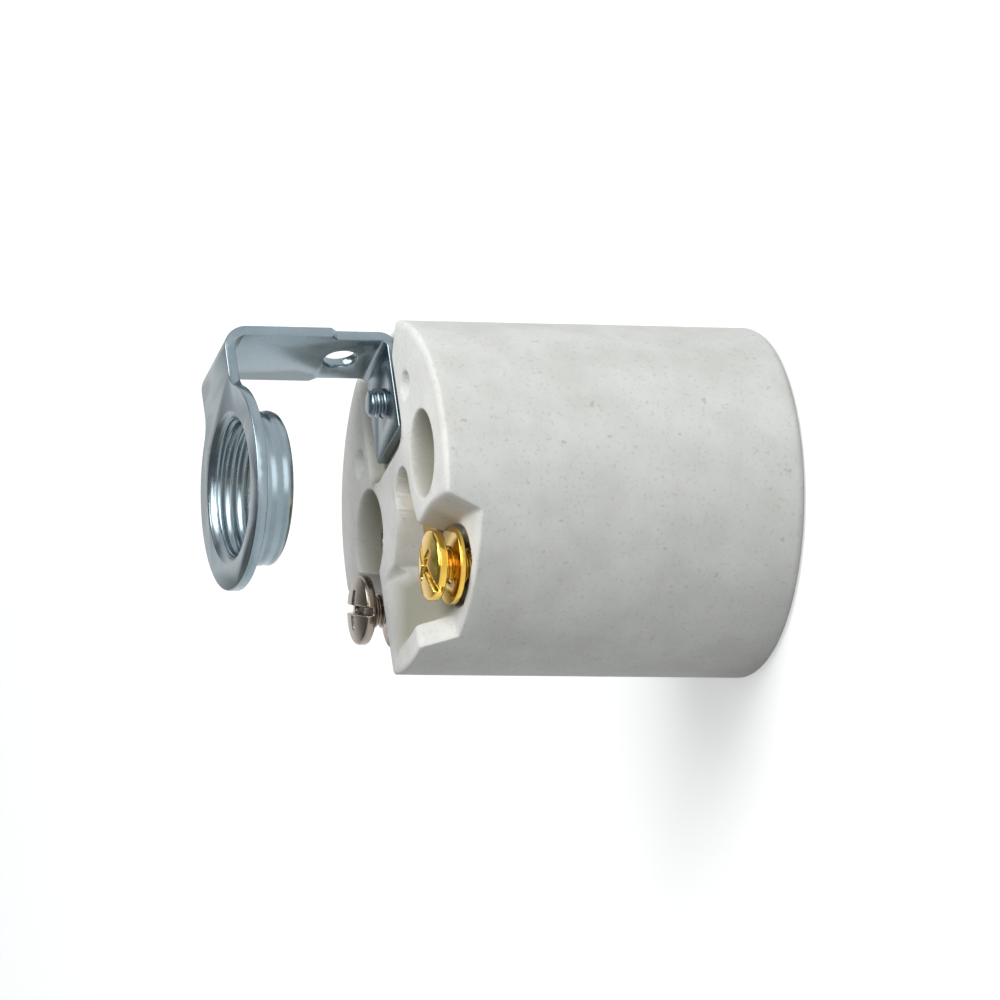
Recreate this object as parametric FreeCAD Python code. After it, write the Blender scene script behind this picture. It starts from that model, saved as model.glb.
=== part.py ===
import FreeCAD, Part
import math
import os

from FreeCAD import Vector

# Keyless porcelain lamp holder for a medium screw base lamp, with a bent steel
# bracket that screws onto lamp pipe, and two terminal screws in open back pockets.
# Millimetres. The origin is the centre of the mouth rim, +Z runs along the lamp axis
# from the mouth to the bracket's ring, and the bracket's strap is on the +X side.

# Overall sizes
BODY_DIAMETER = 41.3
BODY_LENGTH = 44.45
OVERALL_LENGTH = 63.5
MOUTH_EDGE_BREAK = 0.7

# Socket cavity
MOUTH_BORE_DIAMETER = 30.6
MOUTH_BORE_DEPTH = 6.0
MOUTH_LEAD_IN = 0.8
SHELL_BORE_DIAMETER = 28.0
CAVITY_DEPTH = 30.5

# Back face: floors and wells
POCKET_DEPTH = 4.55
NEAR_WELL_CENTRE = (-0.7, -12.3)
NEAR_WELL_LENGTH = 10.4
NEAR_WELL_WIDTH = 9.2
FAR_WELL_CENTRE = (0.0, 10.1)
FAR_WELL_LENGTH = 11.4
FAR_WELL_WIDTH = 10.8
SMALL_WELL_OFFSET = (10.0, 9.8)
SMALL_WELL_DIAMETER = 3.8
SMALL_WELL_DEPTH = 2.2
CHANNEL_END_X = 1.7
CHANNEL_CLEARANCE = 0.3

# Terminal pockets
LINE_SCREW_PLACE = (-13.2, -8.4)
NEUTRAL_SCREW_PLACE = (-7.9, 13.4)
POCKET_INNER_X = -7.9
POCKET_OUTER_X = -17.2
POCKET_BANK_Y = 6.4
RIB_THICKNESS = 1.9
RIB_DRAFT = 0.3
POCKET_DRAFT = 1.3
PLATE_EDGE_GAP = 0.3
BANK_SKEW = 3.0
NICHE_TURN = 1.3
NICHE_REACH = 1.6
NICHE_FLARE = 2.4
WINDOW_INSET = 0.5
WINDOW_SLOPE_RUN = 3.9

# Bracket
STRIP_THICKNESS = 1.25
STRAP_INNER_X = 18.2
STRAP_WIDTH = 11.0
NARROW_WIDTH = 9.4
STRAP_STEP_Z = 50.2
BEND_OUTER_RADIUS = 3.0
FOOT_BEND_RADIUS = 2.0
FOOT_END_X = 6.9
RECESS_DEPTH = 2.3
RECESS_WALL_GAP = 2.1
RECESS_END_GAP = 2.9
RECESS_CORNER_RADIUS = 3.0
RING_CENTRE_X = 0.95
RING_DIAMETER = 23.9
RING_NECK_FILLET = 3.0
COLLAR_OUTER_DIAMETER = 17.3
COLLAR_WALL = 0.65
COLLAR_HEIGHT = 5.3
COLLAR_ENTRY = 0.8
STRAP_HOLE_DIAMETER = 3.95
STRAP_HOLE_Z = 47.8

# Bracket screw
BRACKET_SCREW_X = 12.45
BRACKET_SCREW_DIAMETER = 3.5
BRACKET_SCREW_HEAD_DIAMETER = 5.8
BRACKET_SCREW_HEAD_HEIGHT = 2.4
BRACKET_SCREW_PROUD = 1.8
BRACKET_SCREW_SUNK = 3.6
SCREW_HOLE_CLEARANCE = 0.25
HEAD_CLEARANCE = 0.35

# Screw shell
SHELL_INNER_DIAMETER = 26.0
SHELL_WALL = 0.4
SHELL_MOUTH_Z = 7.0
SHELL_THREAD_LENGTH = 15.5
SHELL_NECK = 0.25
SHELL_FLANGE_HOLE_DIAMETER = 15.4

# Rivets
SHELL_RIVET_RADIUS_PLACE = 10.4
RIVET_DIAMETER = 3.0
RIVET_HEAD_DIAMETER = 4.6
RIVET_HEAD_HEIGHT = 0.7
RIVET_HOLE_CLEARANCE = 0.15
CONTACT_RIVET_PLACE = (-1.4, -3.7)

# Terminal plates and their screws
PLATE_THICKNESS = 1.2
PLATE_ROUND_DIAMETER = 9.0
PLATE_NECK_WIDTH = 4.6
PLATE_TURN_INSET = 2.0
TERMINAL_SCREW_DIAMETER = 4.17
TERMINAL_THREAD_CLEARANCE = 0.05
TERMINAL_HEAD_DIAMETER = 8.2
TERMINAL_HEAD_EDGE = 1.15
TERMINAL_HEAD_DOME = 0.55
TERMINAL_SHANK_LENGTH = 7.6
LINE_SCREW_GAP = 1.3
NEUTRAL_SCREW_GAP = 3.1
DRIVE_SLOT_WIDTH = 1.2
DRIVE_SLOT_DEPTH = 0.8
DRIVE_CROSS_LENGTH = 4.4
DRIVE_CROSS_WIDTH = 1.1
DRIVE_CROSS_DEPTH = 1.3

# Centre contact
CONTACT_STRIP_THICKNESS = 0.5
CONTACT_WIDTH = 5.0
CONTACT_HEIGHT = 3.9
CONTACT_FOLD_BEYOND = 5.8
CONTACT_TIP_BEYOND = 2.4
CONTACT_RISE = 0.7
CONTACT_DOME_DIAMETER = 4.2
CONTACT_DOME_HEIGHT = 0.5

# Worked out from the sizes above
BODY_RADIUS = BODY_DIAMETER / 2
POCKET_FLOOR_Z = BODY_LENGTH - POCKET_DEPTH
PLATE_TOP_Z = POCKET_FLOOR_Z + PLATE_THICKNESS
RECESS_FLOOR_Z = BODY_LENGTH - RECESS_DEPTH
FOOT_TOP_Z = RECESS_FLOOR_Z + STRIP_THICKNESS
STRAP_OUTER_X = STRAP_INNER_X + STRIP_THICKNESS
SHELL_TOP_Z = CAVITY_DEPTH
ABOVE = 3.0
BEYOND = 6.0


def ring_of_points(points, z):
    """Closed straight-sided wire through the (x, y) points at height z."""
    corners = [Vector(x, y, z) for x, y in points]
    return Part.makePolygon(corners + corners[:1])


def prism(points, z_low, z_high):
    face = Part.Face(ring_of_points(points, z_low))
    return face.extrude(Vector(0, 0, z_high - z_low))


def cylinder(x, y, radius, z_low, z_high):
    return Part.makeCylinder(radius, z_high - z_low, Vector(x, y, z_low))


def turned(profile, x=0.0, y=0.0):
    """Solid of revolution about the vertical through (x, y) from (radius, z) points."""
    points = [Vector(x + r, y, z) for r, z in profile]
    face = Part.Face(Part.makePolygon(points + points[:1]))
    return face.revolve(Vector(x, y, 0), Vector(0, 0, 1), 360)


def oval_well(centre, length, width, floor_z):
    """Upright oval cutter, its long axis along X, cut down to floor_z."""
    half_long = max(length, width) / 2
    half_short = min(length, width) / 2
    oval = Part.Ellipse(Vector(0, 0, 0), half_long, half_short)
    face = Part.Face(Part.Wire(oval.toShape()))
    if width > length:
        face.rotate(Vector(0, 0, 0), Vector(0, 0, 1), 90)
    face.translate(Vector(centre[0], centre[1], floor_z))
    return face.extrude(Vector(0, 0, BODY_LENGTH + ABOVE - floor_z))


def channel_half_width():
    return PLATE_NECK_WIDTH / 2 + CHANNEL_CLEARANCE


def contact_channel():
    """Round-ended slot that carries the line plate's neck to the middle of the back."""
    end_y = CONTACT_RIVET_PLACE[1]
    half = channel_half_width()
    start_x = POCKET_INNER_X - BEYOND
    end_x = CHANNEL_END_X - half
    straight = prism(
        [(start_x, end_y - half), (end_x, end_y - half), (end_x, end_y + half), (start_x, end_y + half)],
        POCKET_FLOOR_Z, BODY_LENGTH + ABOVE)
    return straight.fuse(cylinder(end_x, end_y, half, POCKET_FLOOR_Z, BODY_LENGTH + ABOVE))


def spread_outline(points, spreads):
    """Outline whose sides lie the given distances outside those of a
    counterclockwise outline; side i runs from point i to the next point."""
    lines = []
    count = len(points)
    for i in range(count):
        (x1, y1), (x2, y2) = points[i], points[(i + 1) % count]
        length = math.hypot(x2 - x1, y2 - y1)
        nx = (y2 - y1) / length
        ny = (x1 - x2) / length
        lines.append((nx, ny, nx * x1 + ny * y1 + spreads[i]))
    outline = []
    for i in range(count):
        a1, b1, c1 = lines[i - 1]
        a2, b2, c2 = lines[i]
        det = a1 * b2 - a2 * b1
        outline.append(((c1 * b2 - c2 * b1) / det, (a1 * c2 - a2 * c1) / det))
    return outline


def drafted_block(floor, spreads):
    """Flat-sided pocket cutter that stands on the pocket floor; each side leans out
    by its own spread by the time that it reaches the back face."""
    rise = POCKET_DEPTH + ABOVE
    scaled = [spread * rise / POCKET_DEPTH for spread in spreads]
    top = spread_outline(floor, scaled)
    low_z = POCKET_FLOOR_Z
    high_z = POCKET_FLOOR_Z + rise
    faces = [Part.Face(ring_of_points(floor, low_z)), Part.Face(ring_of_points(top, high_z))]
    count = len(floor)
    for i in range(count):
        j = (i + 1) % count
        corners = [Vector(*floor[i], low_z), Vector(*floor[j], low_z),
                   Vector(*top[j], high_z), Vector(*top[i], high_z)]
        faces.append(Part.Face(Part.makePolygon(corners + corners[:1])))
    return Part.makeSolid(Part.makeShell(faces))


def line_pocket():
    """Pocket of the line screw: a bank falls from the rib to the floor, and the
    near wall flares where the pocket breaks out through the body's side."""
    screw_x, screw_y = LINE_SCREW_PLACE
    inner_x = POCKET_INNER_X - POCKET_DRAFT / 2
    bank_low_y = CONTACT_RIVET_PLACE[1] + channel_half_width() + PLATE_EDGE_GAP
    outer_bank_y = bank_low_y - BANK_SKEW
    turn_y = screw_y - PLATE_ROUND_DIAMETER / 2 + NICHE_TURN
    rim_x = screw_x + NICHE_REACH
    rim_y = -BODY_RADIUS - 1
    floor = [(POCKET_OUTER_X, outer_bank_y), (POCKET_OUTER_X, rim_y), (rim_x, rim_y),
             (inner_x, turn_y), (inner_x, bank_low_y)]
    bank_run = POCKET_BANK_Y - (bank_low_y + outer_bank_y) / 2
    return drafted_block(floor, [0, 0, NICHE_FLARE, POCKET_DRAFT, bank_run])


def line_window():
    """Side opening beside the line screw: its far edge slopes up to the back face."""
    low_y = LINE_SCREW_PLACE[1] + PLATE_ROUND_DIAMETER / 2 - WINDOW_INSET
    slope = WINDOW_SLOPE_RUN / POCKET_DEPTH
    top_z = BODY_LENGTH + ABOVE
    corners = [Vector(POCKET_OUTER_X, -BODY_RADIUS, POCKET_FLOOR_Z),
               Vector(POCKET_OUTER_X, low_y, POCKET_FLOOR_Z),
               Vector(POCKET_OUTER_X, low_y + slope * (top_z - POCKET_FLOOR_Z), top_z),
               Vector(POCKET_OUTER_X, -BODY_RADIUS, top_z)]
    face = Part.Face(Part.makePolygon(corners + corners[:1]))
    return face.extrude(Vector(-BEYOND, 0, 0))


def neutral_pocket():
    """Pocket of the neutral screw behind the rib, open to the body's far side."""
    rib_y = POCKET_BANK_Y + RIB_THICKNESS + RIB_DRAFT
    inner_x = NEUTRAL_SCREW_PLACE[0] + PLATE_ROUND_DIAMETER / 2 + PLATE_EDGE_GAP
    far = BODY_RADIUS + BEYOND
    floor = [(inner_x, rib_y), (inner_x, far), (-far, far), (-far, rib_y)]
    return drafted_block(floor, [POCKET_DRAFT, 0, 0, RIB_DRAFT])


def bracket_recess():
    """Round-cornered recess for the bracket's foot, flared where it meets the rim."""
    half = NARROW_WIDTH / 2 + RECESS_WALL_GAP
    end_x = FOOT_END_X - RECESS_END_GAP
    flare_x = STRAP_INNER_X - 3.2
    flare = 3.0
    r = RECESS_CORNER_RADIUS
    out_x = BODY_RADIUS + BEYOND
    outline = [(end_x, -half), (flare_x, -half), (out_x, -half - flare * (out_x - flare_x) / 3.2),
               (out_x, half + flare * (out_x - flare_x) / 3.2), (flare_x, half), (end_x, half)]
    block = prism(outline, RECESS_FLOOR_Z, BODY_LENGTH + ABOVE)
    corners = [e for e in block.Edges if abs(e.BoundBox.XMax - end_x) < 1e-6 and e.BoundBox.ZLength > 1]
    return block.makeFillet(r, corners)


def small_wells():
    x, y = SMALL_WELL_OFFSET
    floor_z = BODY_LENGTH - SMALL_WELL_DEPTH
    return [cylinder(x, side * y, SMALL_WELL_DIAMETER / 2, floor_z, BODY_LENGTH + ABOVE) for side in (-1, 1)]


def body_blank():
    """Outside of the body and its socket cavity, turned in one profile."""
    edge = MOUTH_EDGE_BREAK
    blank = turned([(0, 0), (BODY_RADIUS - edge, 0), (BODY_RADIUS, edge),
                    (BODY_RADIUS, BODY_LENGTH), (0, BODY_LENGTH)])
    mouth_radius = MOUTH_BORE_DIAMETER / 2
    shell_radius = SHELL_BORE_DIAMETER / 2
    shoulder_z = MOUTH_BORE_DEPTH + (mouth_radius - shell_radius) / 2
    cavity = turned([(0, -ABOVE), (mouth_radius + MOUTH_LEAD_IN, -ABOVE), (mouth_radius + MOUTH_LEAD_IN, 0),
                     (mouth_radius, MOUTH_LEAD_IN), (mouth_radius, MOUTH_BORE_DEPTH),
                     (shell_radius, shoulder_z), (shell_radius, CAVITY_DEPTH), (0, CAVITY_DEPTH)])
    return blank.cut(cavity)


def screw_holes():
    """Through holes and counterbores in the floor between the cavity and the back."""
    holes = []
    hole_radius = BRACKET_SCREW_DIAMETER / 2 + SCREW_HOLE_CLEARANCE
    head_radius = BRACKET_SCREW_HEAD_DIAMETER / 2 + HEAD_CLEARANCE
    sunk_z = CAVITY_DEPTH + BRACKET_SCREW_SUNK
    holes.append(cylinder(BRACKET_SCREW_X, 0, hole_radius, sunk_z - 1, RECESS_FLOOR_Z + 1))
    holes.append(cylinder(BRACKET_SCREW_X, 0, head_radius, MOUTH_BORE_DEPTH, sunk_z))
    rivet_radius = RIVET_DIAMETER / 2 + RIVET_HOLE_CLEARANCE
    for x, y in rivet_places():
        holes.append(cylinder(x, y, rivet_radius, CAVITY_DEPTH - 1, POCKET_FLOOR_Z + 1))
    shank_radius = TERMINAL_SCREW_DIAMETER / 2 + SCREW_HOLE_CLEARANCE
    shank_end = PLATE_TOP_Z - TERMINAL_SHANK_LENGTH - 0.8
    for x, y in (LINE_SCREW_PLACE, NEUTRAL_SCREW_PLACE):
        holes.append(cylinder(x, y, shank_radius, shank_end, POCKET_FLOOR_Z + 1))
    return holes


def rivet_places():
    return [(0.0, -SHELL_RIVET_RADIUS_PLACE), (0.0, SHELL_RIVET_RADIUS_PLACE), CONTACT_RIVET_PLACE]


def porcelain_body():
    body = body_blank()
    cutters = [oval_well(NEAR_WELL_CENTRE, NEAR_WELL_LENGTH, NEAR_WELL_WIDTH, POCKET_FLOOR_Z),
               oval_well(FAR_WELL_CENTRE, FAR_WELL_LENGTH, FAR_WELL_WIDTH, POCKET_FLOOR_Z),
               line_pocket(), line_window(), neutral_pocket(), contact_channel(), bracket_recess()]
    cutters += small_wells()
    for cutter in cutters:
        body = body.cut(cutter)
    for hole in screw_holes():
        body = body.cut(hole)
    return body.removeSplitter()


def strip_profile():
    """Side outline of the bent strip in the XZ plane: foot, strap and ring plate."""
    t = STRIP_THICKNESS
    top = OVERALL_LENGTH
    far_x = RING_CENTRE_X - RING_DIAMETER / 2 - 1
    return [(FOOT_END_X, RECESS_FLOOR_Z), (STRAP_OUTER_X, RECESS_FLOOR_Z), (STRAP_OUTER_X, top), (far_x, top),
            (far_x, top - t), (STRAP_INNER_X, top - t), (STRAP_INNER_X, FOOT_TOP_Z), (FOOT_END_X, FOOT_TOP_Z)]


def bent_strip():
    """The strip bent twice, as wide as the ring all over, before its edges are trimmed."""
    wide = RING_DIAMETER
    corners = [Vector(x, -wide / 2, z) for x, z in strip_profile()]
    face = Part.Face(Part.makePolygon(corners + corners[:1]))
    strip = face.extrude(Vector(0, wide, 0))

    bends = [(STRAP_OUTER_X, OVERALL_LENGTH, BEND_OUTER_RADIUS),
             (STRAP_INNER_X, OVERALL_LENGTH - STRIP_THICKNESS, BEND_OUTER_RADIUS - STRIP_THICKNESS),
             (STRAP_OUTER_X, RECESS_FLOOR_Z, FOOT_BEND_RADIUS),
             (STRAP_INNER_X, FOOT_TOP_Z, FOOT_BEND_RADIUS - STRIP_THICKNESS)]
    for x, z, radius in bends:
        corner = [e for e in strip.Edges if e.BoundBox.YLength > wide - 1
                  and abs(e.BoundBox.Center.x - x) < 1e-6 and abs(e.BoundBox.Center.z - z) < 1e-6]
        strip = strip.makeFillet(radius, corner)
    return strip


def strap_outline():
    """Front outline of strap and foot in the YZ plane: wide above the step, narrow below."""
    wide = STRAP_WIDTH / 2
    narrow = NARROW_WIDTH / 2
    step = wide - narrow
    low = RECESS_FLOOR_Z - 1
    high = OVERALL_LENGTH + 1
    half = [(narrow, low), (narrow, STRAP_STEP_Z - step), (wide, STRAP_STEP_Z), (wide, high)]
    return half + [(-y, z) for y, z in reversed(half)]


def bracket():
    """Bent strip with a ring plate, a threaded collar drawn down from it and a foot."""
    strip = bent_strip()
    corners = [Vector(FOOT_END_X - 1, y, z) for y, z in strap_outline()]
    side = Part.Face(Part.makePolygon(corners + corners[:1]))
    keep_x = STRAP_OUTER_X + 2 - (FOOT_END_X - 1)
    strap_form = side.extrude(Vector(keep_x, 0, 0))
    ring_form = cylinder(RING_CENTRE_X, 0, RING_DIAMETER / 2, OVERALL_LENGTH - STRIP_THICKNESS - 1, OVERALL_LENGTH + 1)
    form = strap_form.fuse(ring_form)
    shape = strip.common(form)
    ring_radius = RING_DIAMETER / 2
    neck_x = RING_CENTRE_X + math.sqrt(ring_radius ** 2 - (STRAP_WIDTH / 2) ** 2)
    shape = shape.removeSplitter()
    necks = [e for e in shape.Edges if abs(e.BoundBox.XMin - neck_x) < 0.01
             and abs(e.BoundBox.ZLength - STRIP_THICKNESS) < 0.01 and e.BoundBox.YLength < 0.01]
    shape = shape.makeFillet(RING_NECK_FILLET, necks)
    outer = COLLAR_OUTER_DIAMETER / 2
    inner = outer - COLLAR_WALL
    low = OVERALL_LENGTH - COLLAR_HEIGHT
    collar = cylinder(RING_CENTRE_X, 0, outer, low, OVERALL_LENGTH - STRIP_THICKNESS / 2)
    shape = shape.fuse(collar)
    entry = COLLAR_ENTRY
    drill = turned([(0, low - 1), (inner, low - 1), (inner, OVERALL_LENGTH - entry), (inner + entry, OVERALL_LENGTH),
                    (inner + entry, OVERALL_LENGTH + 1), (0, OVERALL_LENGTH + 1)], RING_CENTRE_X, 0)
    shape = shape.cut(drill)
    foot_hole = cylinder(BRACKET_SCREW_X, 0, BRACKET_SCREW_DIAMETER / 2, RECESS_FLOOR_Z - 1, FOOT_TOP_Z + 1)
    strap_hole = Part.makeCylinder(STRAP_HOLE_DIAMETER / 2, STRIP_THICKNESS + 2,
                                   Vector(STRAP_INNER_X - 1, 0, STRAP_HOLE_Z), Vector(1, 0, 0))
    return shape.cut(foot_hole).cut(strap_hole).removeSplitter()


def bracket_screw():
    """Machine screw up through the floor, its head sunk in the cavity, into the tapped foot."""
    head_low = CAVITY_DEPTH + BRACKET_SCREW_SUNK - BRACKET_SCREW_HEAD_HEIGHT
    head_high = CAVITY_DEPTH + BRACKET_SCREW_SUNK
    head_radius = BRACKET_SCREW_HEAD_DIAMETER / 2
    shank = BRACKET_SCREW_DIAMETER / 2
    tip = FOOT_TOP_Z + BRACKET_SCREW_PROUD
    body = turned([(0, head_low), (head_radius, head_low), (head_radius, head_high),
                   (shank, head_high), (shank, tip - 0.4), (shank - 0.4, tip), (0, tip)], BRACKET_SCREW_X, 0)
    slot = Part.makeBox(2 * head_radius + 1, 0.9, 1.1, Vector(BRACKET_SCREW_X - head_radius - 0.5, -0.45, head_low))
    return body.cut(slot)


def screw_shell():
    """Thin drawn shell for the lamp's screw base: the stretch that carries the
    rolled thread, a plain neck and a flange on the cavity's floor."""
    inner = SHELL_INNER_DIAMETER / 2
    outer = inner + SHELL_WALL
    neck = inner - SHELL_NECK
    hole = SHELL_FLANGE_HOLE_DIAMETER / 2
    thread_high = SHELL_MOUTH_Z + SHELL_THREAD_LENGTH
    shell = turned([(inner, SHELL_MOUTH_Z), (outer, SHELL_MOUTH_Z), (outer, SHELL_TOP_Z), (hole, SHELL_TOP_Z),
                    (hole, SHELL_TOP_Z - SHELL_WALL), (neck, SHELL_TOP_Z - SHELL_WALL), (neck, thread_high),
                    (inner, thread_high)])
    for x, y in rivet_places()[:2]:
        shell = shell.cut(cylinder(x, y, RIVET_DIAMETER / 2, SHELL_TOP_Z - 2, SHELL_TOP_Z + 1))
    return shell


def rivet(place, low_seat, high_seat):
    """Tubular rivet clenched between two seats, with a head at each end."""
    shank = RIVET_DIAMETER / 2
    head = RIVET_HEAD_DIAMETER / 2
    h = RIVET_HEAD_HEIGHT
    bore = shank - 0.6
    profile = [(bore, low_seat - h), (head, low_seat - h), (head, low_seat), (shank, low_seat),
               (shank, high_seat), (head, high_seat), (head, high_seat + h), (bore, high_seat + h)]
    return turned(profile, place[0], place[1])


def terminal_plate(screw_place, rivet_place):
    """Stamped plate, round under its screw, with a neck to the rivet that joins it."""
    low = POCKET_FLOOR_Z
    high = PLATE_TOP_Z
    dx = rivet_place[0] - screw_place[0]
    dy = rivet_place[1] - screw_place[1]
    run = math.hypot(dx, dy)
    nx = -dy / run * PLATE_NECK_WIDTH / 2
    ny = dx / run * PLATE_NECK_WIDTH / 2
    neck = prism([(screw_place[0] + nx, screw_place[1] + ny), (rivet_place[0] + nx, rivet_place[1] + ny),
                  (rivet_place[0] - nx, rivet_place[1] - ny), (screw_place[0] - nx, screw_place[1] - ny)], low, high)
    plate = cylinder(screw_place[0], screw_place[1], PLATE_ROUND_DIAMETER / 2, low, high).fuse(neck)
    plate = plate.fuse(cylinder(rivet_place[0], rivet_place[1], PLATE_NECK_WIDTH / 2, low, high))
    tapped = TERMINAL_SCREW_DIAMETER / 2 + TERMINAL_THREAD_CLEARANCE
    plate = plate.cut(cylinder(screw_place[0], screw_place[1], tapped, low - 1, high + 1))
    plate = plate.cut(cylinder(rivet_place[0], rivet_place[1], RIVET_DIAMETER / 2, low - 1, high + 1))
    return plate.removeSplitter()


def line_plate():
    """Line plate: its neck runs straight along the channel, then turns to the screw."""
    turn = (POCKET_INNER_X - PLATE_TURN_INSET, CONTACT_RIVET_PLACE[1])
    outer = terminal_plate(LINE_SCREW_PLACE, turn)
    low = POCKET_FLOOR_Z
    high = PLATE_TOP_Z
    half = PLATE_NECK_WIDTH / 2
    end_x, end_y = CONTACT_RIVET_PLACE
    fill = cylinder(turn[0], turn[1], half, low, high)
    run = prism([(turn[0], end_y - half), (end_x, end_y - half), (end_x, end_y + half), (turn[0], end_y + half)], low, high)
    plate = outer.fuse(fill).fuse(run).fuse(cylinder(end_x, end_y, half, low, high))
    plate = plate.cut(cylinder(end_x, end_y, RIVET_DIAMETER / 2, low - 1, high + 1))
    return plate.removeSplitter()


def terminal_screw(place, gap, turn_degrees):
    """Binding head machine screw with a combination slot and cross recess."""
    x, y = place
    under = PLATE_TOP_Z + gap
    edge_top = under + TERMINAL_HEAD_EDGE
    crown = edge_top + TERMINAL_HEAD_DOME
    radius = TERMINAL_HEAD_DIAMETER / 2
    shank = TERMINAL_SCREW_DIAMETER / 2
    tip = under - TERMINAL_SHANK_LENGTH
    steps = 2
    sphere = (radius ** 2 + TERMINAL_HEAD_DOME ** 2) / (2 * TERMINAL_HEAD_DOME)
    dome = []
    for i in range(steps + 1):
        r = radius * (1 - i / steps)
        dome.append((r, crown - sphere + math.sqrt(sphere ** 2 - r ** 2)))
    profile = [(0, tip), (shank - 0.5, tip), (shank, tip + 0.5), (shank, under), (radius, under)] + dome
    screw = turned(profile, x, y)
    slot = Part.makeBox(2 * radius + 1, DRIVE_SLOT_WIDTH, 3,
                        Vector(x - radius - 0.5, y - DRIVE_SLOT_WIDTH / 2, crown - DRIVE_SLOT_DEPTH))
    cross = Part.makeBox(DRIVE_CROSS_WIDTH, DRIVE_CROSS_LENGTH, 3,
                         Vector(x - DRIVE_CROSS_WIDTH / 2, y - DRIVE_CROSS_LENGTH / 2, crown - DRIVE_CROSS_DEPTH))
    centre = Part.makeBox(DRIVE_CROSS_LENGTH, DRIVE_CROSS_WIDTH, 3,
                          Vector(x - DRIVE_CROSS_LENGTH / 2, y - DRIVE_CROSS_WIDTH / 2, crown - DRIVE_CROSS_DEPTH))
    cutter = slot.fuse(cross).fuse(centre)
    cutter.rotate(Vector(x, y, 0), Vector(0, 0, 1), turn_degrees)
    return screw.cut(cutter)


def centre_contact():
    """Folded spring strip: a leaf riveted to the floor runs past the centre, folds
    back, and its free leaf ends in a dome that meets the lamp's tip."""
    t = CONTACT_STRIP_THICKNESS
    floor = CAVITY_DEPTH
    rx, ry = CONTACT_RIVET_PLACE
    reach = math.hypot(rx, ry)
    start = -(RIVET_HEAD_DIAMETER / 2 + 0.4)
    fold = reach + CONTACT_FOLD_BEYOND
    tip = reach - CONTACT_TIP_BEYOND
    leaf_z = floor - CONTACT_HEIGHT + CONTACT_DOME_HEIGHT
    root_z = leaf_z + CONTACT_RISE
    bulge = (floor - root_z) / 2
    outside = [(start, floor), (fold - bulge, floor), (fold, floor - bulge), (fold - bulge, root_z),
               (reach, leaf_z), (tip, leaf_z + CONTACT_RISE)]
    inside = [(tip, leaf_z + CONTACT_RISE + t), (reach, leaf_z + t), (fold - bulge, root_z + t),
              (fold - t, floor - bulge), (fold - bulge, floor - t), (start, floor - t)]

    def at(point):
        return Vector(point[0], -CONTACT_WIDTH / 2, point[1])

    edges = [Part.LineSegment(at(outside[0]), at(outside[1])).toShape(),
             Part.Arc(at(outside[1]), at(outside[2]), at(outside[3])).toShape(),
             Part.LineSegment(at(outside[3]), at(outside[4])).toShape(),
             Part.LineSegment(at(outside[4]), at(outside[5])).toShape(),
             Part.LineSegment(at(outside[5]), at(inside[0])).toShape(),
             Part.LineSegment(at(inside[0]), at(inside[1])).toShape(),
             Part.LineSegment(at(inside[1]), at(inside[2])).toShape(),
             Part.Arc(at(inside[2]), at(inside[3]), at(inside[4])).toShape(),
             Part.LineSegment(at(inside[4]), at(inside[5])).toShape(),
             Part.LineSegment(at(inside[5]), at(outside[0])).toShape()]
    strip = Part.Face(Part.Wire(edges)).extrude(Vector(0, CONTACT_WIDTH, 0))
    dome_radius = CONTACT_DOME_DIAMETER / 2
    dome_high = leaf_z + t / 2
    dome = turned([(0, leaf_z - CONTACT_DOME_HEIGHT), (dome_radius * 0.5, leaf_z - CONTACT_DOME_HEIGHT),
                   (dome_radius, dome_high), (0, dome_high)], reach, 0)
    strip = strip.fuse(dome)
    strip = strip.cut(cylinder(0, 0, RIVET_DIAMETER / 2, floor - t - 0.1, floor + 1))
    strip.rotate(Vector(0, 0, 0), Vector(0, 0, 1), math.degrees(math.atan2(-ry, -rx)))
    strip.translate(Vector(rx, ry, 0))
    return strip.removeSplitter()


def build():
    line_rivet_seat = CAVITY_DEPTH - SHELL_WALL
    places = rivet_places()
    return {
        "porcelain_body": porcelain_body(),
        "bracket": bracket(),
        "bracket_screw": bracket_screw(),
        "screw_shell": screw_shell(),
        "shell_rivet_free": rivet(places[0], line_rivet_seat, POCKET_FLOOR_Z),
        "shell_rivet_neutral": rivet(places[1], line_rivet_seat, PLATE_TOP_Z),
        "contact_rivet": rivet(places[2], CAVITY_DEPTH - CONTACT_STRIP_THICKNESS, PLATE_TOP_Z),
        "line_terminal_plate": line_plate(),
        "neutral_terminal_plate": terminal_plate(NEUTRAL_SCREW_PLACE, places[1]),
        "line_terminal_screw": terminal_screw(LINE_SCREW_PLACE, LINE_SCREW_GAP, 20),
        "neutral_terminal_screw": terminal_screw(NEUTRAL_SCREW_PLACE, NEUTRAL_SCREW_GAP, 60),
        "centre_contact": centre_contact(),
    }


os.makedirs("parts", exist_ok=True)
for name, shape in build().items():
    print(name, "solids", len(shape.Solids), "valid", shape.isValid(), "volume", round(shape.Volume, 2))
    shape.exportStep(os.path.join("parts", name + ".step"))
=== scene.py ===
import math

import bmesh
import bpy
import numpy as np
from mathutils import Matrix, Vector


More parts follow.
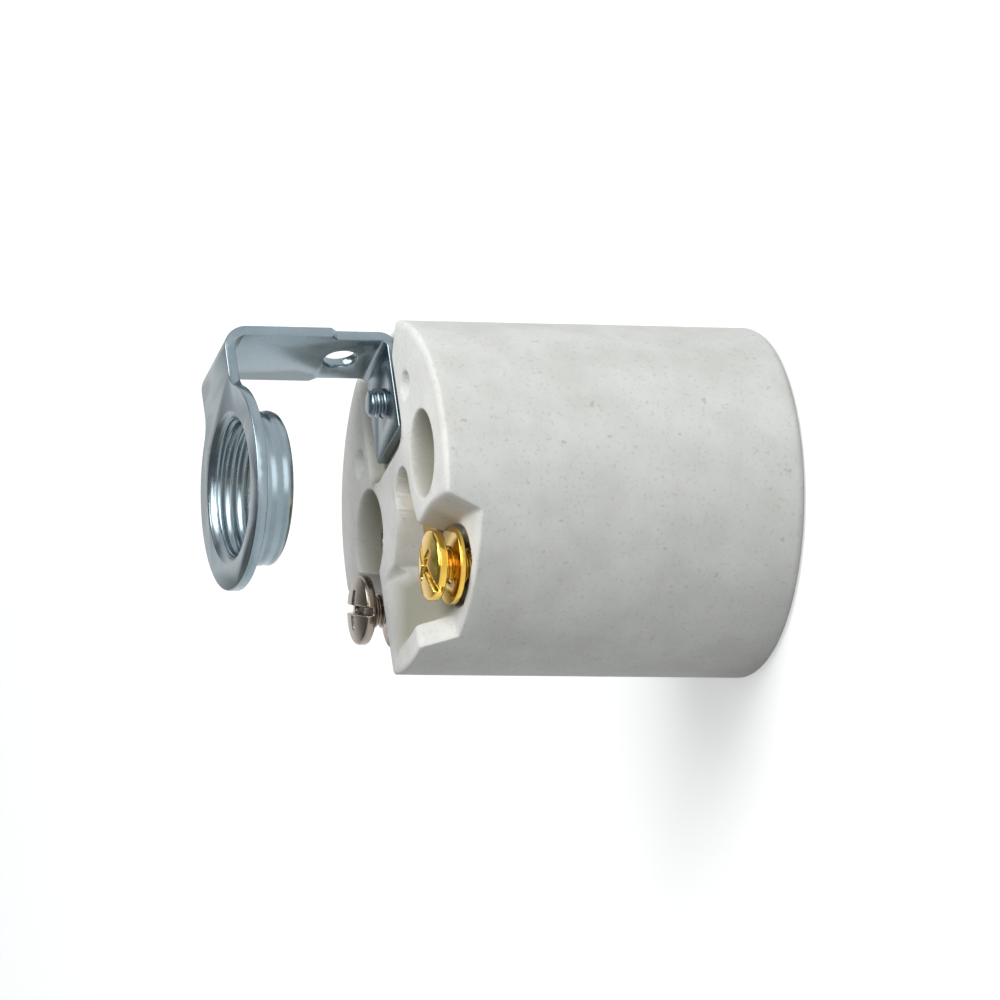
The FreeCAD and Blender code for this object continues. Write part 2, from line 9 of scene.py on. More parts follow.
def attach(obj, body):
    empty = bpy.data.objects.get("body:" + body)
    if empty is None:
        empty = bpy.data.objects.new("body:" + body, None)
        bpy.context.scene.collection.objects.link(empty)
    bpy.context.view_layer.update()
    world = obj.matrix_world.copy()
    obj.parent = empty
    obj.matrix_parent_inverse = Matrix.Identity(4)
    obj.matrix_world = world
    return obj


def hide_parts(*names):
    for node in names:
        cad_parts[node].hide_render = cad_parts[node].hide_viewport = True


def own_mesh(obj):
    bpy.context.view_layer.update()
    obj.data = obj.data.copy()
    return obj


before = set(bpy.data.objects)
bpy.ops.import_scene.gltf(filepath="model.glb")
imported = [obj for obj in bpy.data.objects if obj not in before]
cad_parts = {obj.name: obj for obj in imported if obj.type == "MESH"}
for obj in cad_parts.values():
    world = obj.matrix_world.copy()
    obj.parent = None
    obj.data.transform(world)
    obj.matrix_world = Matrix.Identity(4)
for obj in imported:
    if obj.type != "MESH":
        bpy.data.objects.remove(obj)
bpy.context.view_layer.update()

# Table and camera.
# The holder stands on its mouth on a board painted a matt white, wide enough to fill the picture.
# It is seen from the side and a little above, with the camera rolled so that the bracket points left.

BOARD_PAINT = "#CFD1D2"
BOARD_HALF = 1.6
BOARD_CELLS = 8
BOARD_TOP = -0.00005
CAMERA_AZIMUTH = math.radians(-27.923)
CAMERA_ELEVATION = math.radians(17.995)
CAMERA_ROLL = math.radians(0.883)
CAMERA_DISTANCE = 1.0
CAMERA_LENS = 308.07
CAMERA_AIM = Vector((0.0, 0.0, 0.032))
AIM_RIGHT = 0.0013226
AIM_UP = -0.0001214


def linear_colour(hex_colour):
    """Turns an sRGB hex colour into a linear RGBA: a channel c becomes c / 12.92 in the darks, and
    ((c + 0.055) / 1.055) ** 2.4 above 0.04045."""
    channels = [int(hex_colour[i:i + 2], 16) / 255 for i in (1, 3, 5)]
    linear = [c / 12.92 if c <= 0.04045 else ((c + 0.055) / 1.055) ** 2.4 for c in channels]
    return (*linear, 1.0)


def add_node(tree, kind, settings=None, inputs=None):
    """Adds a shader node, sets its properties, then fills its sockets with values or links."""
    node = tree.nodes.new(kind)
    for name, value in (settings or {}).items():
        setattr(node, name, value)
    for name, value in (inputs or {}).items():
        if isinstance(value, bpy.types.NodeSocket):
            tree.links.new(value, node.inputs[name])
        else:
            node.inputs[name].default_value = value
    return node


def mesh_piece(name, points, faces):
    """Makes a smooth mesh object at the origin from an array of points in metres and a list of faces."""
    mesh = bpy.data.meshes.new(name)
    mesh.from_pydata(points.tolist(), [], faces)
    mesh.polygons.foreach_set("use_smooth", np.full(len(mesh.polygons), True))
    mesh.update()
    piece = bpy.data.objects.new(name, mesh)
    bpy.context.scene.collection.objects.link(piece)
    return piece


def painted_board_material():
    """Matt white paint: even, so it stays a clean white and shows only the holder's shadow. The camera and
    polished metal see it a little brighter than it lights the porcelain."""
    board = bpy.data.materials.new("painted_board")
    board.use_nodes = True
    tree = board.node_tree
    tree.nodes.clear()
    paint = add_node(tree, "ShaderNodeBsdfDiffuse",
                     inputs={"Color": linear_colour(BOARD_PAINT), "Roughness": 0.9})
    glow = add_node(tree, "ShaderNodeEmission", inputs={"Color": (1, 1, 1, 1), "Strength": 0.5})
    seen = add_node(tree, "ShaderNodeLightPath")
    bright = add_node(tree, "ShaderNodeMath", {"operation": "MAXIMUM"},
                      {0: seen.outputs["Is Camera Ray"], 1: seen.outputs["Is Glossy Ray"]})
    both = add_node(tree, "ShaderNodeAddShader", inputs={0: paint.outputs[0], 1: glow.outputs[0]})
    choice = add_node(tree, "ShaderNodeMixShader",
                      inputs={0: bright.outputs[0], 1: paint.outputs[0], 2: both.outputs[0]})
    add_node(tree, "ShaderNodeOutputMaterial", inputs={"Surface": choice.outputs[0]})
    return board


board_steps = np.linspace(-BOARD_HALF, BOARD_HALF, BOARD_CELLS + 1)
board_x, board_y = np.meshgrid(board_steps, board_steps)
board_points = np.stack([board_x.ravel(), board_y.ravel(), np.full(board_x.size, BOARD_TOP)], axis=1)
corner = (np.arange(BOARD_CELLS)[:, None] * (BOARD_CELLS + 1) + np.arange(BOARD_CELLS)).ravel()
board_faces = np.stack([corner, corner + 1, corner + BOARD_CELLS + 2, corner + BOARD_CELLS + 1], axis=1)
table = mesh_piece("table", board_points, board_faces.tolist())
table.data.materials.append(painted_board_material())

back = Vector((math.sin(CAMERA_AZIMUTH) * math.cos(CAMERA_ELEVATION),
               -math.cos(CAMERA_AZIMUTH) * math.cos(CAMERA_ELEVATION), math.sin(CAMERA_ELEVATION)))
level_right = (-back).cross(Vector((0, 0, 1))).normalized()
level_up = level_right.cross(-back)
image_right = level_right * math.sin(CAMERA_ROLL) - level_up * math.cos(CAMERA_ROLL)
image_up = level_right * math.cos(CAMERA_ROLL) + level_up * math.sin(CAMERA_ROLL)
aim = CAMERA_AIM + AIM_RIGHT * image_right + AIM_UP * image_up
facing = Matrix((image_right, image_up, back)).transposed()
camera_data = bpy.data.cameras.new("camera")
camera_data.lens = CAMERA_LENS
camera_data.sensor_width = 36
camera_data.clip_end = 10
camera = bpy.data.objects.new("camera", camera_data)
camera.matrix_world = Matrix.Translation(aim + back * CAMERA_DISTANCE) @ facing.to_4x4()
bpy.context.scene.collection.objects.link(camera)
bpy.context.scene.camera = camera
bpy.context.scene.view_settings.view_transform = "Standard"

# Studio room and lamps.
# The camera and polished metal see white walls under a dark ceiling, and all else meets a dimmer room.
# One square soft lamp hangs above and towards the bracket's side, and a weaker one stands in front.

LAMP_SIZE = 0.5
LAMP_DISTANCE = 0.6
ROOM_LEVEL = 0.19
CEILING_LEVEL = 0.16

room = bpy.data.worlds.new("white_room")
room.use_nodes = True
tree = room.node_tree
tree.nodes.clear()
seen = add_node(tree, "ShaderNodeLightPath")
direct = add_node(tree, "ShaderNodeMath", {"operation": "MAXIMUM"},
                  {0: seen.outputs["Is Camera Ray"], 1: seen.outputs["Is Transmission Ray"]})
mirrored = add_node(tree, "ShaderNodeMath", {"operation": "MAXIMUM"},
                    {0: direct.outputs[0], 1: seen.outputs["Is Glossy Ray"]})
way = add_node(tree, "ShaderNodeTexCoord").outputs["Generated"]
height = add_node(tree, "ShaderNodeSeparateXYZ", inputs={0: way}).outputs["Z"]
walls = add_node(tree, "ShaderNodeMapRange", {"interpolation_type": "SMOOTHSTEP"},
                 {"Value": height, "From Min": 0.25, "From Max": 0.65,
                  "To Min": 1.0, "To Max": CEILING_LEVEL})
level = add_node(tree, "ShaderNodeMapRange",
                 inputs={"Value": mirrored.outputs[0], "To Min": ROOM_LEVEL, "To Max": walls.outputs[0]})
sky = add_node(tree, "ShaderNodeBackground", inputs={"Color": (1, 1, 1, 1), "Strength": level.outputs[0]})
add_node(tree, "ShaderNodeOutputWorld", inputs={"Surface": sky.outputs[0]})
bpy.context.scene.world = room


def soft_lamp(name, direction, watts):
    """Square area lamp in the given direction from the holder's middle, aimed at it."""
    lamp_data = bpy.data.lights.new(name, "AREA")
    lamp_data.size = LAMP_SIZE
    lamp_data.energy = watts
    lamp = bpy.data.objects.new(name, lamp_data)
    way = direction.normalized()
    aimed = way.to_track_quat("Z", "Y").to_matrix().to_4x4()
    lamp.matrix_world = Matrix.Translation(CAMERA_AIM + way * LAMP_DISTANCE) @ aimed
    bpy.context.scene.collection.objects.link(lamp)


level_back = Vector((back.x, back.y, 0)).normalized()
soft_lamp("key_lamp", image_up * 0.46 + level_back * 0.27 + Vector((0, 0, 0.85)), 4.25)
soft_lamp("front_lamp", image_up * 0.35 + level_back * 0.93 + Vector((0, 0, 0.05)), 1.3)

# Porcelain body.
# One piece of unglazed electrical porcelain, pressed in a steel die and fired, so that every
# lip is a little soft and the surface is matt with fine iron specks.

BODY_RADIUS = 20.65
BODY_LENGTH = 44.45
POCKET_DEPTH = 4.55
LINE_SCREW_PLACE = (-13.2, -8.4)
NEUTRAL_SCREW_PLACE = (-7.9, 13.4)
LINE_RIVET_PLACE = (-1.4, -3.7)
SCREW_HOLE_RADIUS = 2.45
SCREW_HOLE_DEPTH = 8.4
PLATE_RELIEF_RADIUS = 4.95
PLATE_RELIEF_DEPTH = 5.6
PLATE_RELIEF_LIMIT = 19.9
BRACKET_SCREW_X = 12.45
COUNTERBORE_RADIUS = 3.25
CHANNEL_HALF = 2.6
CHANNEL_END_X = 1.7
CHANNEL_WIDENING_X = -1.5
CHANNEL_MOUTH_X = -9.5
FOOT_RECESS_HALF = 6.8
FOOT_RECESS_END_X = 4.0
FOOT_RECESS_CORNER = 3.0
FOOT_RECESS_DEPTH = 2.3
FOOT_RECESS_FLARE_X = 15.0
FOOT_RECESS_FLARE = 0.94
LINE_POCKET_OUTER_X = -17.7
LINE_POCKET_INNER_X = -7.0
NICHE_EDGE = ((-9.35, -20.9), (-6.75, -12.3))
BANK_EDGE = ((-7.2, 7.9), (-17.2, 5.4))
SIDE_OPENING_Y = -1.7
SIDE_OPENING_INNER_X = -16.0
NEUTRAL_POCKET_Y = 8.3
NEUTRAL_POCKET_INNER_X = -1.8
POCKET_BLEND = 0.9
RIM_REACH = 1.8
RIM_MIDDLE_RADIUS = 19.8
RIM_STEPS = (0.12, 0.25, 0.38, 0.5, 0.62, 0.72, 0.81, 0.88, 0.94, 0.98, 1.0)
SIDE_STEADY_Z = 36.0
MOUTH_ROUNDING = 1.0
MOUTH_BORE_RADIUS = 15.3
MOUTH_BORE_DEPTH = 6.0
MOUTH_LEAD_IN = 0.8
SHELL_BORE_RADIUS = 14.0
CAVITY_DEPTH = 30.5
DISC_CELLS = 220

# Oval wells: centre, length, width, run of the wall, lip, depth and fillet at the floor
NEAR_WELL = ((-0.7, -12.3), 10.8, 9.2, 0.75, 0.45, POCKET_DEPTH, 0.9)
FAR_WELL = ((0.0, 10.1), 11.6, 11.0, 0.75, 0.5, POCKET_DEPTH, 0.9)
NEAR_SMALL_WELL = ((9.6, -9.8), 3.9, 3.9, 1.0, 0.35, 2.2, 0.8)
FAR_SMALL_WELL = ((9.6, 9.8), 3.9, 3.9, 1.0, 0.35, 2.2, 0.8)


def smooth_least(a, b, blend):
    """The smaller of two fields, with the crease between them filled over the height blend:
    min(a, b) - h^2 blend / 4, where h = max(blend - |a - b|, 0) / blend."""
    h = np.maximum(blend - np.abs(a - b), 0) / blend
    return np.minimum(a, b) - h * h * blend / 4


def wall_drop(inside, run, lip, depth=POCKET_DEPTH):
    """How far a wall has fallen at a distance inside its top outline: a round lip of radius lip,
    then a straight draft that reaches the depth after run."""
    slope = depth / run
    lean = math.atan(slope)
    lip_run = lip * math.sin(lean)
    lip_fall = lip * (1 - math.cos(lean))
    shift = lip * math.tan(lean / 2)
    s = inside + shift
    arc = lip - np.sqrt(np.maximum(lip * lip - np.clip(s, 0, lip_run) ** 2, 0))
    return np.where(s <= lip_run, arc, lip_fall + (s - lip_run) * slope)


def flat_floor(wall, fillet, depth=POCKET_DEPTH):
    """Stops a falling wall at the floor with a fillet between them, and at zero above."""
    return np.maximum(smooth_least(wall, np.full_like(wall, depth), fillet), 0)


def oval_well(x, y, centre, length, width, run, lip, depth, fillet):
    """Oval cup: the distance inside the oval is (1 - q) times the local radius, q being the scaled
    distance; its lip is up to nearly twice as round on the side of high y."""
    dx = x - centre[0]
    dy = y - centre[1]
    reach = np.hypot(dx, dy)
    q = np.hypot(dx / (length / 2), dy / (width / 2))
    local_radius = np.where(q > 1e-6, reach / np.maximum(q, 1e-6), min(length, width) / 2)
    worn_lip = lip * (1 + 1.8 * np.clip(dy / width + 0.1, 0, 0.5))
    return flat_floor(wall_drop(local_radius * (1 - q), run, worn_lip, depth), fillet, depth)


def line_distance(x, y, start, end):
    """Signed distance to the line from start to end, positive on its left."""
    length = math.hypot(end[0] - start[0], end[1] - start[1])
    nx = -(end[1] - start[1]) / length
    ny = (end[0] - start[0]) / length
    return (x - start[0]) * nx + (y - start[1]) * ny


def channel_drop(x, y):
    """Channel for the line plate's neck: a slot with a round end, its half width less the distance from its
    middle line. It widens towards the line screw's pocket, more on the far side, and ends inside it."""
    along = np.maximum(x - (CHANNEL_END_X - CHANNEL_HALF), 0)
    aside = y - LINE_RIVET_PLACE[1]
    widening = np.clip((CHANNEL_WIDENING_X - x) / 6.0, 0, 1) ** 1.6 * np.where(aside > 0, 4.2, 1.2)
    inside = np.minimum(CHANNEL_HALF + widening - np.hypot(along, aside), x - CHANNEL_MOUTH_X)
    return flat_floor(wall_drop(inside, run=0.3, lip=0.45), fillet=0.8)


def foot_recess_drop(x, y):
    """Recess for the bracket's foot: a rectangle with round corners, open to the rim, where its near side
    flares out."""
    flare = np.where(y < 0, np.maximum(x - FOOT_RECESS_FLARE_X, 0) * FOOT_RECESS_FLARE, 0)
    side = FOOT_RECESS_HALF + flare - np.abs(y)
    end = x - FOOT_RECESS_END_X
    in_corner = (side < FOOT_RECESS_CORNER) & (end < FOOT_RECESS_CORNER)
    rounded = FOOT_RECESS_CORNER - np.hypot(FOOT_RECESS_CORNER - side, FOOT_RECESS_CORNER - end)
    inside = np.where(in_corner, rounded, np.minimum(side, end))
    return flat_floor(wall_drop(inside, 0.7, 0.5, FOOT_RECESS_DEPTH), 0.7, FOOT_RECESS_DEPTH)


def line_pocket_drop(x, y):
    """Pocket of the line screw: the least of an outer wall, a niche towards the rim, an inner wall and the
    long bank below the rib, blended where they meet."""
    outer = wall_drop(x - LINE_POCKET_OUTER_X, run=0.4, lip=0.4)
    niche = wall_drop(line_distance(x, y, *NICHE_EDGE), run=2.2, lip=1.1)
    inner = wall_drop(LINE_POCKET_INNER_X - x, run=1.5, lip=1.2)
    bank = wall_drop(line_distance(x, y, *BANK_EDGE), run=8.6, lip=0.9)
    above = smooth_least(inner, niche, 2.4)
    below = smooth_least(bank, outer, 0.8)
    return flat_floor(smooth_least(above, below, 2.4), fillet=0.5)


def side_opening_drop(x, y):
    """Opening through the body's side beside the line screw: a drafted wall that faces the rim, behind a
    steep one along the pocket."""
    window = wall_drop(SIDE_OPENING_Y - y, run=2.5, lip=0.5)
    beyond = wall_drop(SIDE_OPENING_INNER_X - x, run=0.3, lip=0.3)
    return flat_floor(smooth_least(window, beyond, 0.3), fillet=0.3)


def neutral_pocket_drop(x, y):
    """Pocket of the neutral screw: the least of the rib's wall and an inner wall."""
    rib = wall_drop(y - NEUTRAL_POCKET_Y, run=0.5, lip=0.5)
    inner = wall_drop(NEUTRAL_POCKET_INNER_X - x, run=1.3, lip=0.7)
    return flat_floor(smooth_least(rib, inner, 1.2), fillet=0.8)


def back_drop(x, y):
    """Depth of the moulded back face below its lands: the deepest of all pockets, blended where they meet,
    then the relief under the line plate's round end and the holes for the two screw shanks."""
    deepest = oval_well(x, y, *NEAR_WELL)
    for drop in (oval_well(x, y, *FAR_WELL), oval_well(x, y, *NEAR_SMALL_WELL),
                 oval_well(x, y, *FAR_SMALL_WELL), channel_drop(x, y), foot_recess_drop(x, y),
                 line_pocket_drop(x, y), side_opening_drop(x, y), neutral_pocket_drop(x, y)):
        deepest = -smooth_least(-deepest, -drop, POCKET_BLEND)
    deepest = np.clip(deepest, 0, POCKET_DEPTH)

    # The relief stays inside the rim's lip
    round_end = PLATE_RELIEF_RADIUS - np.hypot(x - LINE_SCREW_PLACE[0], y - LINE_SCREW_PLACE[1])
    inside = np.minimum(round_end, PLATE_RELIEF_LIMIT - np.hypot(x, y))
    relief = flat_floor(wall_drop(inside, 0.25, 0.15, PLATE_RELIEF_DEPTH), 0.3, PLATE_RELIEF_DEPTH)
    deepest = np.maximum(deepest, relief)

    for place in (LINE_SCREW_PLACE, NEUTRAL_SCREW_PLACE):
        in_hole = np.hypot(x - place[0], y - place[1]) < SCREW_HOLE_RADIUS
        deepest = np.where(in_hole, POCKET_DEPTH + SCREW_HOLE_DEPTH, deepest)
    return deepest


def pocket_painted_shade(x, y):
    """Share of painted shade at (x, y), darkening the pockets as shade would, from 0 on the lands to 1 in the
    two wells, in the bracket's recess and on the bank: a well's depth over 3 mm, the distance inside the
    recess over 1 mm, and the distance inside the bank over 3.4 mm, where the one to its outer edge counts 2.5
    times."""
    wells = np.maximum(oval_well(x, y, *NEAR_WELL), oval_well(x, y, *FAR_WELL)) / 3.0
    recess = np.minimum(FOOT_RECESS_HALF - np.abs(y), x - FOOT_RECESS_END_X)
    across = np.minimum((x + 17.8) * 2.5, LINE_POCKET_INNER_X - x)
    bank = np.minimum(across, np.minimum(6.6 - y, y + 12.0)) / 3.4
    return np.clip(np.maximum(np.maximum(wells, recess), bank), 0, 1)


def cavity_radius(angle):
    """Radius of the shell's bore, let out where the bracket screw's counterbore, a circle of radius r round
    x = c, breaks into it: c cos t + sqrt(r^2 - (c sin t)^2)."""
    half_chord = np.maximum(COUNTERBORE_RADIUS ** 2 - (BRACKET_SCREW_X * np.sin(angle)) ** 2, 0)
    reach = BRACKET_SCREW_X * np.cos(angle) + np.sqrt(half_chord)
    met = (np.abs(np.sin(angle)) < COUNTERBORE_RADIUS / BRACKET_SCREW_X) & (np.cos(angle) > 0)
    return np.where(met, np.maximum(reach, SHELL_BORE_RADIUS), SHELL_BORE_RADIUS)


def disc_surface(radius, cells, height):
    """Disc whose height is a function of (x, y): a square grid (a, b) from -1 to 1 pressed round by
    x = radius a sqrt(1 - b^2 / 2), y = radius b sqrt(1 - a^2 / 2). Returns its points and faces, then
    the edge's points in order and their angles."""
    a, b = np.meshgrid(np.linspace(-1, 1, cells + 1), np.linspace(-1, 1, cells + 1))
    x = a * np.sqrt(1 - b * b / 2) * radius
    y = b * np.sqrt(1 - a * a / 2) * radius
    points = np.stack([x.ravel(), y.ravel(), height(x, y).ravel()], axis=1)
    cell = (np.arange(cells)[:, None] * (cells + 1) + np.arange(cells)).ravel()
    faces = np.stack([cell, cell + 1, cell + cells + 2, cell + cells + 1], axis=1)
    grid = np.arange((cells + 1) * (cells + 1)).reshape(cells + 1, cells + 1)
    edge = np.concatenate([grid[0, :-1], grid[:-1, -1], grid[-1, :0:-1], grid[:0:-1, 0]])
    return points, faces, edge, np.arctan2(points[edge, 1], points[edge, 0])


def carried_down(disc, disc_faces, edge, angle, profile, last):
    """Carries a disc's edge along a profile: each pair of radius and height, numbers or one value for each
    edge point, is a ring at the edge points' angles, joined to the ring before. It ends in the point last."""
    count = len(edge)
    rings = [np.stack([radius * np.cos(angle), radius * np.sin(angle), height + np.zeros(count)], axis=1)
             for radius, height in profile]
    points = np.concatenate([disc, *rings, [last]])
    starts = [edge] + [len(disc) + i * count + np.arange(count) for i in range(len(rings))]
    quads = [disc_faces]
    for upper, lower in zip(starts[:-1], starts[1:]):
        quads.append(np.stack([upper, lower, np.roll(lower, -1), np.roll(upper, -1)], axis=1))
    fan = np.stack([starts[-1], np.full(count, len(points) - 1), np.roll(starts[-1], -1)], axis=1)
    return points, np.concatenate(quads).tolist() + fan.tolist()


def porcelain_surface():
    """The back face is a disc at height L - drop(x, y). From its edge, rings follow the rounded rim, the
    side, the rounded mouth edge, the bore and the cavity, down to its flat floor. The rim is a quarter of
    an ellipse, b (1 - sqrt(1 - s^2)), rounder on the near side and where a pocket breaks through it."""
    flat_radius = BODY_RADIUS - RIM_REACH
    disc, disc_faces, edge, angle = disc_surface(flat_radius, DISC_CELLS,
                                                 lambda x, y: BODY_LENGTH - back_drop(x, y))
    cos_a = np.cos(angle)
    sin_a = np.sin(angle)

    broken = np.clip(back_drop(RIM_MIDDLE_RADIUS * cos_a, RIM_MIDDLE_RADIUS * sin_a) / POCKET_DEPTH, 0, 1)
    near = np.clip(-sin_a, 0, 1)
    reach = 0.6 + 0.4 * near + 0.7 * broken
    fall = 0.3 + 0.3 * near + 0.1 * broken
    profile = []
    for step in RIM_STEPS:
        radius = flat_radius + RIM_REACH * step
        s = np.clip((RIM_REACH * step - RIM_REACH + reach) / reach, 0, 1)
        drop = back_drop(radius * cos_a, radius * sin_a)
        profile.append((radius, BODY_LENGTH - drop - fall * (1 - np.sqrt(1 - s * s))))

    # The side evens out downwards, then runs straight to the mouth's rounded edge
    rim_height = profile[-1][1]
    profile += [(BODY_RADIUS, rim_height + (SIDE_STEADY_Z - rim_height) * t)
                for t in np.linspace(0, 1, 10)[1:]]
    profile += [(BODY_RADIUS, height) for height in (28, 18, 8, 3, MOUTH_ROUNDING)]
    profile += [(BODY_RADIUS - MOUTH_ROUNDING * (1 - math.cos(phi)), MOUTH_ROUNDING * (1 - math.sin(phi)))
                for phi in np.linspace(0, math.pi / 2, 7)[1:]]

    # Eased lead-in, mouth bore and its shoulder
    lead = MOUTH_BORE_RADIUS + MOUTH_LEAD_IN
    shoulder = MOUTH_BORE_DEPTH + (MOUTH_BORE_RADIUS - SHELL_BORE_RADIUS) / 2
    profile += [(lead + 0.3, 0), (lead + 0.08, 0.03), (lead - 0.02, 0.12),
                (MOUTH_BORE_RADIUS + 0.06, MOUTH_LEAD_IN - 0.05), (MOUTH_BORE_RADIUS, MOUTH_LEAD_IN + 0.1),
                (MOUTH_BORE_RADIUS, MOUTH_BORE_DEPTH - 0.1), (MOUTH_BORE_RADIUS - 0.1, MOUTH_BORE_DEPTH)]

    # Cavity for the shell and its flat floor
    bore = cavity_radius(angle)
    profile += [(bore + 0.1, shoulder - 0.05), (bore, shoulder + 0.05), (bore, CAVITY_DEPTH - 0.4),
                (bore - 0.1, CAVITY_DEPTH - 0.1), (bore - 0.4, CAVITY_DEPTH), (7.0, CAVITY_DEPTH)]
    points, faces = carried_down(disc, disc_faces, edge, angle, profile, (0, 0, CAVITY_DEPTH))
    return points * 0.001, faces


def porcelain_material():
    """Unglazed pressed porcelain, fired white-grey: matt, faintly mottled, with fine iron specks, and with
    shade painted darker where the piece's own attribute says so."""
    material = bpy.data.materials.new("unglazed_porcelain")
    material.use_nodes = True
    tree = material.node_tree
    tree.nodes.clear()
    place = add_node(tree, "ShaderNodeTexCoord").outputs["Object"]
    # Mottling about 6 mm across
    cloud = add_node(tree, "ShaderNodeTexNoise",
                     inputs={"Vector": place, "Scale": 160.0, "Detail": 3.0, "Roughness": 0.6})
    clay = add_node(tree, "ShaderNodeMapRange",
                    inputs={"Value": cloud.outputs[0], "From Min": 0.35, "From Max": 0.65})
    body_colour = add_node(tree, "ShaderNodeMix", {"data_type": "RGBA"},
                           {0: clay.outputs[0], 6: linear_colour("#D0D1CD"), 7: linear_colour("#DCDDDA")})
    # Tan iron specks about 0.4 mm across
    grain = add_node(tree, "ShaderNodeTexNoise",
                     inputs={"Vector": place, "Scale": 2300.0, "Detail": 1.0, "Roughness": 0.5})
    tan = add_node(tree, "ShaderNodeMapRange",
                   inputs={"Value": grain.outputs[0], "From Min": 0.60, "From Max": 0.74})
    tan_part = add_node(tree, "ShaderNodeMath", {"operation": "MULTIPLY"}, {0: tan.outputs[0], 1: 0.26})
    tan_specked = add_node(tree, "ShaderNodeMix", {"data_type": "RGBA"},
                           {0: tan_part.outputs[0], 6: body_colour.outputs[2], 7: linear_colour("#A89B82")})
    # Rarer rust specks about 1 mm across
    coarse = add_node(tree, "ShaderNodeTexNoise",
                      inputs={"Vector": place, "Scale": 900.0, "Detail": 1.0, "Roughness": 0.5})
    rust = add_node(tree, "ShaderNodeMapRange",
                    inputs={"Value": coarse.outputs[0], "From Min": 0.72, "From Max": 0.80})
    rust_part = add_node(tree, "ShaderNodeMath", {"operation": "MULTIPLY"}, {0: rust.outputs[0], 1: 0.32})
    specked = add_node(tree, "ShaderNodeMix", {"data_type": "RGBA"},
                       {0: rust_part.outputs[0], 6: tan_specked.outputs[2], 7: linear_colour("#94805F")})
    # Painted shade: the pockets darkened to a grey-yellow, as far as the piece's attribute says
    painted_shade_share = add_node(tree, "ShaderNodeAttribute", {"attribute_name": "painted_shade"})
    shaded_clay = add_node(tree, "ShaderNodeMix", {"data_type": "RGBA"},
                     {0: painted_shade_share.outputs["Fac"], 6: specked.outputs[2], 7: linear_colour("#9B998A")})
    # Pressed grain about 0.3 mm across
    tooth = add_node(tree, "ShaderNodeTexNoise",
                     inputs={"Vector": place, "Scale": 3600.0, "Detail": 2.0, "Roughness": 0.6})
    bump = add_node(tree, "ShaderNodeBump",
                    inputs={"Height": tooth.outputs[0], "Strength": 0.25, "Distance": 0.00004})
    rough = add_node(tree, "ShaderNodeMapRange",
                     inputs={"Value": cloud.outputs[0], "To Min": 0.55, "To Max": 0.7})
    shader = add_node(tree, "ShaderNodeBsdfPrincipled",
                      inputs={"Base Color": shaded_clay.outputs[2], "Roughness": rough.outputs[0], "IOR": 1.5,
                              "Specular IOR Level": 0.35, "Normal": bump.outputs[0]})
    add_node(tree, "ShaderNodeOutputMaterial", inputs={"Surface": shader.outputs[0]})
    return material


body_points, body_faces = porcelain_surface()
body = mesh_piece("pressed_body", body_points, body_faces)
body.data.materials.append(porcelain_material())

# Painted shade in the pockets, but not in the cavity, nor on the rim's outer 0.9 mm
spots = body_points * 1000
painted_shade_spots = np.where(spots[:, 2] > 35, pocket_painted_shade(spots[:, 0], spots[:, 1]), 0)
inside_rim = np.hypot(spots[:, 0], spots[:, 1]) < BODY_RADIUS - 0.9
painted_shade = body.data.attributes.new("painted_shade", "FLOAT", "POINT")
painted_shade.data.foreach_set("value", painted_shade_spots * inside_rim)
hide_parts("porcelain_body")
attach(body, "holder")

# Bent bracket.
# Mild steel strip, blanked, bent twice and drawn down into a collar that is tapped for lamp pipe,
# then barrel plated with bright zinc; the machine screw through the floor holds its foot.

STRIP_EASING = 0.14
COLLAR_CENTRE_X = 0.95
COLLAR_LOW_Z = 58.2
COLLAR_HIGH_Z = 62.75
COLLAR_OUTER_RADIUS = 8.7
COLLAR_BORE_RADIUS = 8.01
COLLAR_THREAD_DEPTH = 0.32
COLLAR_COLUMNS = 160
ENTRY_CENTRE = (9.2, 62.28)
ENTRY_RADIUS = 1.2
PIPE_PITCH = 25.4 / 18


def thread_wave(turns):
    """Rolled thread form over whole turns: ((1 + cos 2 pi t) / 2) ** 0.8, a little fuller at the crest."""
    return (0.5 + 0.5 * np.cos(2 * math.pi * turns)) ** 0.8


def angles(columns):
    """Evenly spaced angles round a full turn, the last short of the first by one step."""
    return np.linspace(0, 2 * math.pi, columns, endpoint=False)


def turned_surface(profile, columns, centre, looped=False):
    """Surface of revolution with waves: x = cx + r cos t, y = cy + r sin t. The profile is a list of pairs
    of radius and height, each a number or one value for each angle. It runs outwards and up, or round a
    closed loop; the ends of an open one are closed by flat caps."""
    radius = np.array([np.broadcast_to(pair[0], columns) for pair in profile])
    height = np.array([np.broadcast_to(pair[1], columns) for pair in profile])
    x = centre[0] + radius * np.cos(angles(columns))
    y = centre[1] + radius * np.sin(angles(columns))
    points = np.stack([x, y, height], axis=2)
    index = np.arange(radius.size).reshape(radius.shape)
    low = index if looped else index[:-1]
    high = np.roll(index, -1, axis=0) if looped else index[1:]
    quads = np.stack([low, np.roll(low, -1, axis=1), np.roll(high, -1, axis=1), high], axis=2)
    faces = quads.reshape(-1, 4).tolist()
    if not looped:
        faces += [index[0, ::-1].tolist(), index[-1].tolist()]
    return points.reshape(-1, 3) * 0.001, faces


def eased_copy(node, name, easing):
    """Copy of a CAD node with its cut edges eased, as tumbling and plating leave them. It replaces the
    node."""
    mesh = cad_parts[node].data.copy()
    work = bmesh.new()
    work.from_mesh(mesh)
    bmesh.ops.remove_doubles(work, verts=work.verts, dist=1e-7)
    bmesh.ops.dissolve_limit(work, angle_limit=math.radians(1.0), verts=work.verts, edges=work.edges)
    for face in work.faces:
        face.smooth = True
    work.to_mesh(mesh)
    work.free()
    mesh.materials.clear()
    piece = bpy.data.objects.new(name, mesh)
    bpy.context.scene.collection.objects.link(piece)
    bevel = piece.modifiers.new("eased_edges", "BEVEL")
    bevel.width = easing * 0.001
    bevel.segments = 2
    bevel.limit_method = "ANGLE"
    bevel.angle_limit = math.radians(40)
    bevel.harden_normals = True
    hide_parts(node)
    return piece


